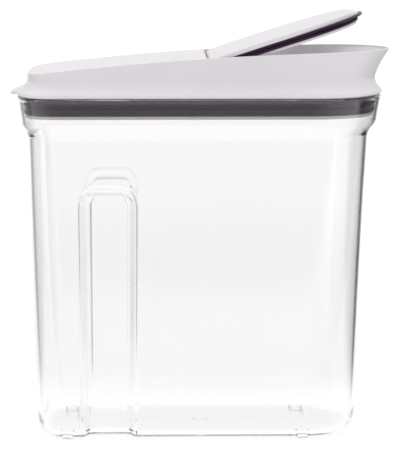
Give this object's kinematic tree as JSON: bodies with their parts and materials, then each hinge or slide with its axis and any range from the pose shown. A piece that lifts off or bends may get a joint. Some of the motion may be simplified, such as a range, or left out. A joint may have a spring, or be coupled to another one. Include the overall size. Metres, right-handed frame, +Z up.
{
  "type": "food canister",
  "caption": "Clear rectangular dry-food canister with grip recesses, a push-on lid and a hinged pour flap with a spout.",
  "frame": {"origin": "on the table under the middle of the bounding box, where the feet stand", "axes": "+X from the finger tab to the pour spout, +Y across the canister, +Z up"},
  "size_m": [0.2396, 0.116, 0.2673],
  "materials": {
    "clear_plastic": "clear moulded plastic, glossy",
    "white_plastic": "satin moulded white",
    "white_inner_plastic": "satin moulded white",
    "dark_silicone": "matte dark purple-grey silicone"
  },
  "bodies": {
    "tub": {"tub": "clear_plastic"},
    "lid": {"lid_cover": "white_plastic", "lid_plug": "white_inner_plastic", "lid_gasket": "dark_silicone"},
    "flap": {"flap_cover": "white_plastic", "flap_plate": "white_inner_plastic", "flap_gasket": "dark_silicone"}
  },
  "joints": [
    {"name": "lid_lift", "type": "slide", "parent": "tub", "child": "lid", "axis": [0, 0, 1], "range_m": [0, 0.04]},
    {"name": "flap_hinge", "type": "hinge", "parent": "lid", "child": "flap", "pos_m": [0.0085, 0, 0.23648], "axis": [0, -1, 0], "range_deg": [-15.4, 74.6]}
  ]
}
